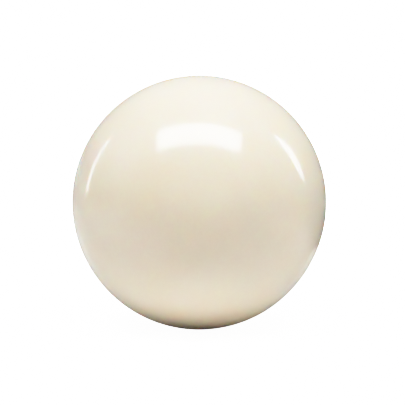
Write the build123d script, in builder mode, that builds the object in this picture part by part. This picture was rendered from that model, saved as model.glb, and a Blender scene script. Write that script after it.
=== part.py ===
"""Cue ball for a pool table that returns its balls, built as it is cast: a ball-shaped core, then an outer shell
of ivory resin cast round it.

The core is resin filled with iron powder, so that a magnet in the table can draw the cue ball aside from the
object balls. It is as dense as the shell, so the ball weighs and rolls like one cast in a single piece.

Frame: millimetres, +Z up, origin at the centre of the ball. The ball rests on its lowest point, on the Z axis.
"""

import os

from build123d import *

INCH = 25.4

# Driving dimensions
BALL_DIAMETER = 2.25 * INCH
CORE_DIAMETER = 1.5 * INCH

BALL_RADIUS = BALL_DIAMETER / 2
CORE_RADIUS = CORE_DIAMETER / 2


# The core is cast first, and ground to a true ball.
with BuildPart() as iron_filled_core:
    Sphere(CORE_RADIUS)

iron_filled_core.part.label = "iron_filled_core"


# The shell is one seamless casting, ground and polished outside. Its cavity is closed on every side and is
# exactly as large as the core, because the resin sets against the core and bonds to it all over.
with BuildPart() as outer_shell:
    Sphere(BALL_RADIUS)
    Sphere(CORE_RADIUS, mode=Mode.SUBTRACT)

outer_shell.part.label = "outer_shell"


os.makedirs("parts", exist_ok=True)
export_step(iron_filled_core.part, "parts/iron_filled_core.step")
export_step(outer_shell.part, "parts/outer_shell.step")
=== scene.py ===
"""The looks of a cue ball: a shell of polished ivory resin over an iron-filled core, on a pale studio floor.

Everything is in metres, in the frame of the CAD model: +Z up, with the origin at the centre of the ball. The
camera stands on the -Y side, so -Y is the front, +X the right and +Y the back.
"""

import math

import bmesh
import bpy
from mathutils import Euler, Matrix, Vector


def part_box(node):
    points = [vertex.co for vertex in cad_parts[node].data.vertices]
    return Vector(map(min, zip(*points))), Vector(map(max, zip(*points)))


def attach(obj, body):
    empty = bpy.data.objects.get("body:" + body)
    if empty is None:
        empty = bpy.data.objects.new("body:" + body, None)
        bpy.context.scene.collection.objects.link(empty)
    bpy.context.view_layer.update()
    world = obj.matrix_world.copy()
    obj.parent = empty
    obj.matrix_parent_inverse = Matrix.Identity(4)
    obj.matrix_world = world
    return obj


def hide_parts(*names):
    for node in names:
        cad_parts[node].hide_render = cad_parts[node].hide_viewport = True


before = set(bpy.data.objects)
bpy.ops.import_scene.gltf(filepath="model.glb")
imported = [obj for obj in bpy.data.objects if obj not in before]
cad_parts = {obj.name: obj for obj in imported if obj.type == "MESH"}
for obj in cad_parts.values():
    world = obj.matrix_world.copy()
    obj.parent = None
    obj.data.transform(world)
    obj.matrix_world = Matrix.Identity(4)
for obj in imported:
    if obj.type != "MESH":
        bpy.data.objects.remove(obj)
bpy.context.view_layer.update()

MM = 0.001
MICRON = 0.001 * MM

# The ball, as the CAD model gives it. It stands on the floor on its lowest point.
BALL_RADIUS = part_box("outer_shell")[1].z
CORE_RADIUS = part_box("iron_filled_core")[1].z
FLOOR_HEIGHT = -BALL_RADIUS

# A sphere is spread from a cube, with so many quads along each edge. The core and the cavity round it have
# the same number, so that they meet vertex for vertex.
OUTSIDE_QUADS = 72
CORE_QUADS = 48

# The camera looks slightly down at the ball, which takes up a little under two thirds of the frame's width.
CAMERA_ELEVATION = 4
CAMERA_LENS = 100
CAMERA_SENSOR = 36
BALL_SHARE_OF_FRAME = 0.628
BALL_LEFT_OF_CENTRE = 0.008

# Light up to the knee is shown as it is, brighter light ever less brightly, and this much is pure white.
TONE_KNEE = 0.6
PURE_WHITE = 4


def in_direction(azimuth, elevation, distance):
    """The place that is so far from the ball's centre: azimuth 0 is in front, 90 on the right, in degrees."""
    around = math.radians(azimuth)
    above = math.radians(elevation)
    level = math.cos(above)
    return distance * Vector((level * math.sin(around), -level * math.cos(around), math.sin(above)))


# ---------------------------------------------------------------------------------------------- nodes

# The colour sockets of a Mix node, which has a set of sockets for each type of data.
MIX_COLOUR_A = 6
MIX_COLOUR_B = 7
MIX_COLOUR_RESULT = 2


def new_material(name):
    material = bpy.data.materials.new(name)
    material.use_nodes = True
    return material, material.node_tree, material.node_tree.nodes["Principled BSDF"]


def noise(tree, size, detail=0.0, spread=1.0, turn=(0, 0, 0)):
    """Noise in the object's own space, with features of the given size. They can be spread out sideways into
    sheets, which a ball's surface cuts in fine lines."""
    place = tree.nodes.new("ShaderNodeTexCoord")
    mapping = tree.nodes.new("ShaderNodeMapping")
    mapping.vector_type = "TEXTURE"
    mapping.inputs["Rotation"].default_value = [math.radians(angle) for angle in turn]
    mapping.inputs["Scale"].default_value = (size * spread, size * spread, size)
    texture = tree.nodes.new("ShaderNodeTexNoise")
    texture.inputs["Scale"].default_value = 1
    texture.inputs["Detail"].default_value = detail
    tree.links.new(place.outputs["Object"], mapping.inputs["Vector"])
    tree.links.new(mapping.outputs["Vector"], texture.inputs["Vector"])
    return texture.outputs["Fac"]


def remap(tree, value, low, high, to_low=0.0, to_high=1.0):
    """Takes a value from one range to another, and holds it at the ends."""
    node = tree.nodes.new("ShaderNodeMapRange")
    node.inputs["From Min"].default_value = low
    node.inputs["From Max"].default_value = high
    node.inputs["To Min"].default_value = to_low
    node.inputs["To Max"].default_value = to_high
    tree.links.new(value, node.inputs["Value"])
    return node.outputs["Result"]


def wander(tree, size, low, high, detail=0.0):
    """A value that wanders between two others, over stretches of the given size."""
    return remap(tree, noise(tree, size, detail), 0.3, 0.7, low, high)


def combine(tree, operation, first, second):
    """The sum, product, greater or smaller of two values."""
    node = tree.nodes.new("ShaderNodeMath")
    node.operation = operation
    tree.links.new(first, node.inputs[0])
    tree.links.new(second, node.inputs[1])
    return node.outputs["Value"]


def distance_from_origin(tree, place):
    node = tree.nodes.new("ShaderNodeVectorMath")
    node.operation = "LENGTH"
    tree.links.new(place, node.inputs[0])
    return node.outputs["Value"]


def mix_colours(tree, amount, first, second):
    node = tree.nodes.new("ShaderNodeMix")
    node.data_type = "RGBA"
    node.inputs[MIX_COLOUR_A].default_value = (*first, 1)
    node.inputs[MIX_COLOUR_B].default_value = (*second, 1)
    tree.links.new(amount, node.inputs["Factor"])
    return node.outputs[MIX_COLOUR_RESULT]


def raise_bumps(tree, shader, height, depth):
    """Gives the surface a relief, so deep where the height goes from 0 to 1."""
    bump = tree.nodes.new("ShaderNodeBump")
    bump.inputs["Distance"].default_value = depth
    tree.links.new(height, bump.inputs["Height"])
    tree.links.new(bump.outputs["Normal"], shader.inputs["Normal"])


# ---------------------------------------------------------------------------------------------- the ball


def hairlines(tree, turn):
    """Fine scratches that all run one way: the crests of a noise of thin sheets."""
    sheets = noise(tree, 0.12 * MM, spread=120, turn=turn)
    return remap(tree, sheets, low=0.67, high=0.77)


def ivory_resin():
    """Cast phenolic resin, ground and polished. Light goes some two millimetres into it and comes out warmer.
    Its colour is faintly cloudy and grainy from the filler, and play has left hairlines and a little haze."""
    material, tree, shader = new_material("ivory_resin")

    clouds = wander(tree, 14 * MM, low=0, high=0.8, detail=3)
    grain = wander(tree, 0.5 * MM, low=0, high=0.2)
    tint = combine(tree, "ADD", clouds, grain)
    deep_ivory = (0.785, 0.701, 0.557)
    pale_ivory = (0.822, 0.747, 0.614)
    tree.links.new(mix_colours(tree, tint, deep_ivory, pale_ivory), shader.inputs["Base Color"])
    shader.inputs["IOR"].default_value = 1.58
    shader.inputs["Subsurface Weight"].default_value = 1
    shader.inputs["Subsurface Radius"].default_value = (1, 0.55, 0.3)
    shader.inputs["Subsurface Scale"].default_value = 2 * MM

    crossing = combine(tree, "MAXIMUM", hairlines(tree, (25, 15, 0)), hairlines(tree, (0, 70, 0)))
    scratches = combine(tree, "MAXIMUM", crossing, hairlines(tree, (80, -40, 0)))
    haze = wander(tree, 7 * MM, low=0.1, high=0.13, detail=2)
    scuffed = remap(tree, scratches, 0, 1, to_low=0, to_high=0.1)
    tree.links.new(combine(tree, "ADD", haze, scuffed), shader.inputs["Roughness"])
    raise_bumps(tree, shader, scratches, 2 * MICRON)
    return material


def iron_filled_resin():
    """Dark resin crowded with iron powder, ground matte: grains shine where the grinding has opened them."""
    material, tree, shader = new_material("iron_filled_resin")

    iron = remap(tree, noise(tree, 0.35 * MM, detail=1), low=0.56, high=0.62)
    streaks = wander(tree, 6 * MM, low=0, high=0.25, detail=3)
    shade = combine(tree, "MAXIMUM", iron, streaks)
    dark_resin = (0.05, 0.047, 0.043)
    dull_iron = (0.23, 0.225, 0.215)
    tree.links.new(mix_colours(tree, shade, dark_resin, dull_iron), shader.inputs["Base Color"])
    tree.links.new(iron, shader.inputs["Metallic"])
    tree.links.new(remap(tree, iron, 0, 1, to_low=0.7, to_high=0.4), shader.inputs["Roughness"])

    grinding = noise(tree, 0.12 * MM, spread=40, turn=(90, 30, 0))
    raise_bumps(tree, shader, combine(tree, "ADD", grinding, iron), 10 * MICRON)
    return material


def add_ball_surface(mesh, radius, quads, inward=False):
    """Adds a sphere of even quads: a cube's grid, spread by equal angles and pushed out to the radius."""
    new = bmesh.new()
    bmesh.ops.create_cube(new, size=2)
    bmesh.ops.subdivide_edges(new, edges=new.edges[:], cuts=quads - 1, use_grid_fill=True)
    for vertex in new.verts:
        spread = Vector([math.tan(math.pi / 4 * along) for along in vertex.co])
        vertex.co = spread.normalized() * radius
    if inward:
        bmesh.ops.reverse_faces(new, faces=new.faces[:])
    for face in new.faces:
        face.smooth = True
    new.from_mesh(mesh)
    new.to_mesh(mesh)
    new.free()


def add_piece(mesh, node, material):
    """Shows the mesh in place of a CAD node, whose own mesh is pinched at the poles."""
    mesh.materials.append(material)
    piece = bpy.data.objects.new(mesh.name, mesh)
    bpy.context.scene.collection.objects.link(piece)
    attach(piece, "root")
    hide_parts(node)


def make_core():
    """The core, cast first and ground to a true ball."""
    mesh = bpy.data.meshes.new("ground_core")
    add_ball_surface(mesh, CORE_RADIUS, CORE_QUADS)
    add_piece(mesh, "iron_filled_core", iron_filled_resin())


def make_shell():
    """The cast shell: its polished outside, and the closed cavity that the core fills."""
    mesh = bpy.data.meshes.new("ivory_shell")
    add_ball_surface(mesh, BALL_RADIUS, OUTSIDE_QUADS)
    add_ball_surface(mesh, CORE_RADIUS, CORE_QUADS, inward=True)
    add_piece(mesh, "outer_shell", ivory_resin())


# ---------------------------------------------------------------------------------------------- the floor


def matte(name, shade=0.0):
    """Paper or card of a neutral shade."""
    material, _, shader = new_material(name)
    shader.inputs["Base Color"].default_value = (shade, shade, shade, 1)
    shader.inputs["Roughness"].default_value = 0.8
    shader.inputs["Specular IOR Level"].default_value = 0.1
    return material


def paper_with_painted_light():
    """White paper with painted light: its colour is brightest a little in front of the ball, like a pool of
    light, and falls off into painted shade towards its front edge and a little towards the right. Close under
    the ball it is painted warm, standing in for light that has been in the resin."""
    material = matte("paper_with_painted_light")
    tree = material.node_tree
    place = tree.nodes.new("ShaderNodeTexCoord").outputs["Object"]
    along = tree.nodes.new("ShaderNodeSeparateXYZ")
    tree.links.new(place, along.inputs["Vector"])
    sideways = along.outputs["X"]
    backwards = along.outputs["Y"]

    # Painted light and shade: the paper's colour peaks 1.2 ball radii in front, darkens towards its front
    # edge and just behind the contact, and darkens towards the right.
    front_edge = -4.5 * BALL_RADIUS
    brightest_place = -1.2 * BALL_RADIUS
    behind_contact = -0.1 * BALL_RADIUS
    brightest = 0.92
    nearness = remap(tree, backwards, front_edge, brightest_place)
    squared = combine(tree, "MULTIPLY", nearness, nearness)
    rising = remap(tree, squared, 0, 1, to_low=0.1, to_high=brightest)
    falling = remap(tree, backwards, brightest_place, behind_contact, to_low=brightest, to_high=0.64)
    side = 3 * BALL_RADIUS
    rightwards = remap(tree, sideways, -side, side, to_low=1.06, to_high=0.92)
    shade = combine(tree, "MULTIPLY", combine(tree, "MINIMUM", rising, falling), rightwards)

    # Painted warm bounce light: close round the contact the paper is tinted warm, fading to neutral one ball
    # radius away.
    away = remap(tree, distance_from_origin(tree, place), 0.3 * BALL_RADIUS, BALL_RADIUS)
    warm = (1, 0.88, 0.7)
    neutral = (1, 1, 1)
    tinted = tree.nodes.new("ShaderNodeVectorMath")
    tinted.operation = "SCALE"
    tree.links.new(mix_colours(tree, away, warm, neutral), tinted.inputs[0])
    tree.links.new(shade, tinted.inputs["Scale"])
    tree.links.new(tinted.outputs["Vector"], tree.nodes["Principled BSDF"].inputs["Base Color"])
    return material


def white_floor_with_painted_glow():
    """The floor as an overexposed photo shows it: white, with only a hint of shadow under the ball."""
    material, tree, shader = new_material("white_floor_with_painted_glow")
    shader.inputs["Base Color"].default_value = (1, 1, 1, 1)
    shader.inputs["Roughness"].default_value = 1
    shader.inputs["Specular IOR Level"].default_value = 0
    shader.inputs["Emission Color"].default_value = (1, 1, 1, 1)
    # Painted glow: the floor gives off light of its own, weaker near the ball, so that only a hint of the
    # shadow shows there.
    place = tree.nodes.new("ShaderNodeNewGeometry").outputs["Position"]
    away = distance_from_origin(tree, place)
    glow = remap(tree, away, 50 * MM, 300 * MM, to_low=1.7, to_high=PURE_WHITE)
    tree.links.new(glow, shader.inputs["Emission Strength"])
    return material


def add_level_sheet(name, material, left, right, front, back, drop):
    """A level rectangle, so far below the height of the floor."""
    mesh = bpy.data.meshes.new(name)
    corners = [(left, front, 0), (right, front, 0), (right, back, 0), (left, back, 0)]
    mesh.from_pydata(corners, [], [(0, 1, 2, 3)])
    mesh.materials.append(material)
    sheet = bpy.data.objects.new(name, mesh)
    sheet.location.z = FLOOR_HEIGHT - drop
    bpy.context.scene.collection.objects.link(sheet)
    return sheet


def lay_floor():
    """The camera sees only an endless white floor. What lights the ball and is mirrored in it is what a
    studio has in its place: white paper, which ends short of the camera, on a dark table, with two sheets
    behind, a dark one on the right and a white one on the left. These lie just below the floor, so that they
    don't shade it."""
    wide = 4
    whole = {"left": -wide, "right": wide, "front": -wide, "back": wide}
    floor = add_level_sheet("floor", white_floor_with_painted_glow(), **whole, drop=0)
    floor.visible_diffuse = False
    floor.visible_glossy = False
    floor.visible_shadow = False

    far = 1.2
    table = matte("table", 0.05)
    paper = paper_with_painted_light()
    # These two sheets make the floor that the ball mirrors and is lit by darker behind on the right and
    # lighter behind on the left.
    dark = matte("dark_sheet", 0.08)
    white = matte("white_sheet", 0.78)
    paper_drop = 0.1 * MM
    card_drop = 0.05 * MM
    mirrored = [
        add_level_sheet("table", table, **whole, drop=1 * MM),
        add_level_sheet("paper", paper, left=-far, right=0.33, front=-0.13, back=far, drop=paper_drop),
        add_level_sheet("dark_sheet", dark, left=0.062, right=0.6, front=0.03, back=0.3, drop=card_drop),
        add_level_sheet("white_sheet", white, left=-far, right=-0.05, front=0.04, back=far, drop=card_drop),
    ]
    for sheet in mirrored:
        sheet.visible_camera = False


# ---------------------------------------------------------------------------------------------- the studio


def add_softbox(name, place, width, height, radiance, aim=Vector((0, 0, 0)), lean=0):
    """A rectangular softbox that faces the aim and leans sideways by so many degrees. Returns its light."""
    light = bpy.data.lights.new(name, "AREA")
    light.shape = "RECTANGLE"
    light.size = width
    light.size_y = height
    light.energy = radiance * width * height * math.pi
    softbox = bpy.data.objects.new(name, light)
    softbox.location = place
    upright = (aim - place).to_track_quat("-Z", "Y")
    softbox.rotation_euler = (upright @ Euler((0, 0, math.radians(lean))).to_quaternion()).to_euler()
    bpy.context.scene.collection.objects.link(softbox)
    return light


def fade_at_both_ends(tree, along, margin):
    """1 along the middle of a side, and down to 0 over the margin at either end: along goes from 0 to 1."""
    rising = remap(tree, along, 0, margin)
    falling = remap(tree, along, 1, 1 - margin)
    return combine(tree, "MULTIPLY", rising, falling)


def soften_edges(light, margin):
    """Lets an area light fade over a margin along its edges, so that its mirror image has round corners."""
    light.use_nodes = True
    tree = light.node_tree
    place = tree.nodes.new("ShaderNodeNewGeometry")
    across = tree.nodes.new("ShaderNodeSeparateXYZ")
    tree.links.new(place.outputs["Parametric"], across.inputs["Vector"])
    sideways = fade_at_both_ends(tree, across.outputs["X"], margin / light.size)
    upwards = fade_at_both_ends(tree, across.outputs["Y"], margin / light.size_y)
    strength = combine(tree, "MULTIPLY", sideways, upwards)
    tree.links.new(strength, tree.nodes["Emission"].inputs["Strength"])


def light_studio():
    """A large softbox above the front, a narrow one on either side behind, and a low glow from the left."""
    above_front = Vector((0, -0.266, 0.594))
    behind_ball = Vector((0, 0.22, 0))
    key = add_softbox("key", above_front, width=0.84, height=0.3, radiance=12.2, aim=behind_ball, lean=-2.5)
    soften_edges(key, 50 * MM)

    away = 0.9
    on_the_left = in_direction(-118, 17, away)
    on_the_right = in_direction(106.7, 25, away)
    low_on_the_left = in_direction(-138, 3, away)
    add_softbox("left_strip", on_the_left, width=0.045, height=0.45, radiance=8.5)
    right_strip = add_softbox("right_strip", on_the_right, width=0.12, height=0.48, radiance=8, lean=5)
    right_strip.shape = "ELLIPSE"
    add_softbox("low_glow", low_on_the_left, width=0.84, height=0.13, radiance=0.4)


def light_surroundings():
    """Plain white for the camera to see. What lights the ball and is mirrored in it is a dim studio, darkest
    at the sides: its light is the sum of the squared direction's parts, each times its own amount."""
    sideways = 0.04
    forwards_and_backwards = 0.42
    upwards = 0.38
    world = bpy.data.worlds.new("studio")
    bpy.context.scene.world = world
    world.use_nodes = True
    nodes = world.node_tree.nodes
    links = world.node_tree.links
    direction = nodes.new("ShaderNodeTexCoord").outputs["Generated"]
    squared = nodes.new("ShaderNodeVectorMath")
    squared.operation = "MULTIPLY"
    links.new(direction, squared.inputs[0])
    links.new(direction, squared.inputs[1])
    glow = nodes.new("ShaderNodeVectorMath")
    glow.operation = "DOT_PRODUCT"
    glow.inputs[1].default_value = (sideways, forwards_and_backwards, upwards)
    links.new(squared.outputs["Vector"], glow.inputs[0])
    dim = nodes["Background"]
    dim.inputs["Color"].default_value = (1, 1, 1, 1)
    links.new(glow.outputs["Value"], dim.inputs["Strength"])
    white = nodes.new("ShaderNodeBackground")
    white.inputs["Color"].default_value = (1, 1, 1, 1)
    white.inputs["Strength"].default_value = PURE_WHITE
    ray = nodes.new("ShaderNodeLightPath")
    mix = nodes.new("ShaderNodeMixShader")
    links.new(ray.outputs["Is Camera Ray"], mix.inputs["Fac"])
    links.new(dim.outputs["Background"], mix.inputs[1])
    links.new(white.outputs["Background"], mix.inputs[2])
    links.new(mix.outputs["Shader"], nodes["World Output"].inputs["Surface"])


# ---------------------------------------------------------------------------------------------- the camera

# The curve of a curve mapping that holds for all three colours alike.
COMBINED_CURVE = 3


def add_camera():
    """A camera in front, just so far away that the ball takes up its share of the frame."""
    camera = bpy.data.cameras.new("camera")
    camera.lens = CAMERA_LENS
    camera.sensor_width = CAMERA_SENSOR
    camera.shift_x = BALL_LEFT_OF_CENTRE
    half_angle = math.atan(BALL_SHARE_OF_FRAME * CAMERA_SENSOR / CAMERA_LENS / 2)
    place = in_direction(0, CAMERA_ELEVATION, BALL_RADIUS / math.sin(half_angle))
    stand = bpy.data.objects.new("camera", camera)
    stand.location = place
    stand.rotation_euler = (-place).to_track_quat("-Z", "Y").to_euler()
    bpy.context.scene.collection.objects.link(stand)
    bpy.context.scene.camera = stand


def brightness_shown(light):
    """How bright the picture shows light: straight up to the knee, then ever more slowly towards white."""
    if light <= TONE_KNEE:
        return light
    above_knee = 1 - TONE_KNEE
    return 1 - above_knee * math.exp((TONE_KNEE - light) / above_knee)


def roll_off_highlights():
    """Renders light as a camera does, by a tone curve with points close together where it bends."""
    settings = bpy.context.scene.view_settings
    settings.view_transform = "Standard"
    settings.use_curve_mapping = True
    mapping = settings.curve_mapping
    mapping.white_level = (PURE_WHITE, PURE_WHITE, PURE_WHITE)
    mapping.extend = "HORIZONTAL"
    curve = mapping.curves[COMBINED_CURVE]
    curve.points[0].location = (0, 0)
    curve.points[1].location = (1, 1)
    for light in (0.3, 0.6, 0.8, 1, 1.3, 1.7, 2.2, 3):
        curve.points.new(light / PURE_WHITE, brightness_shown(light))
    mapping.update()


# ---------------------------------------------------------------------------------------------- the scene

make_core()
make_shell()
lay_floor()
light_studio()
light_surroundings()
add_camera()
roll_off_highlights()
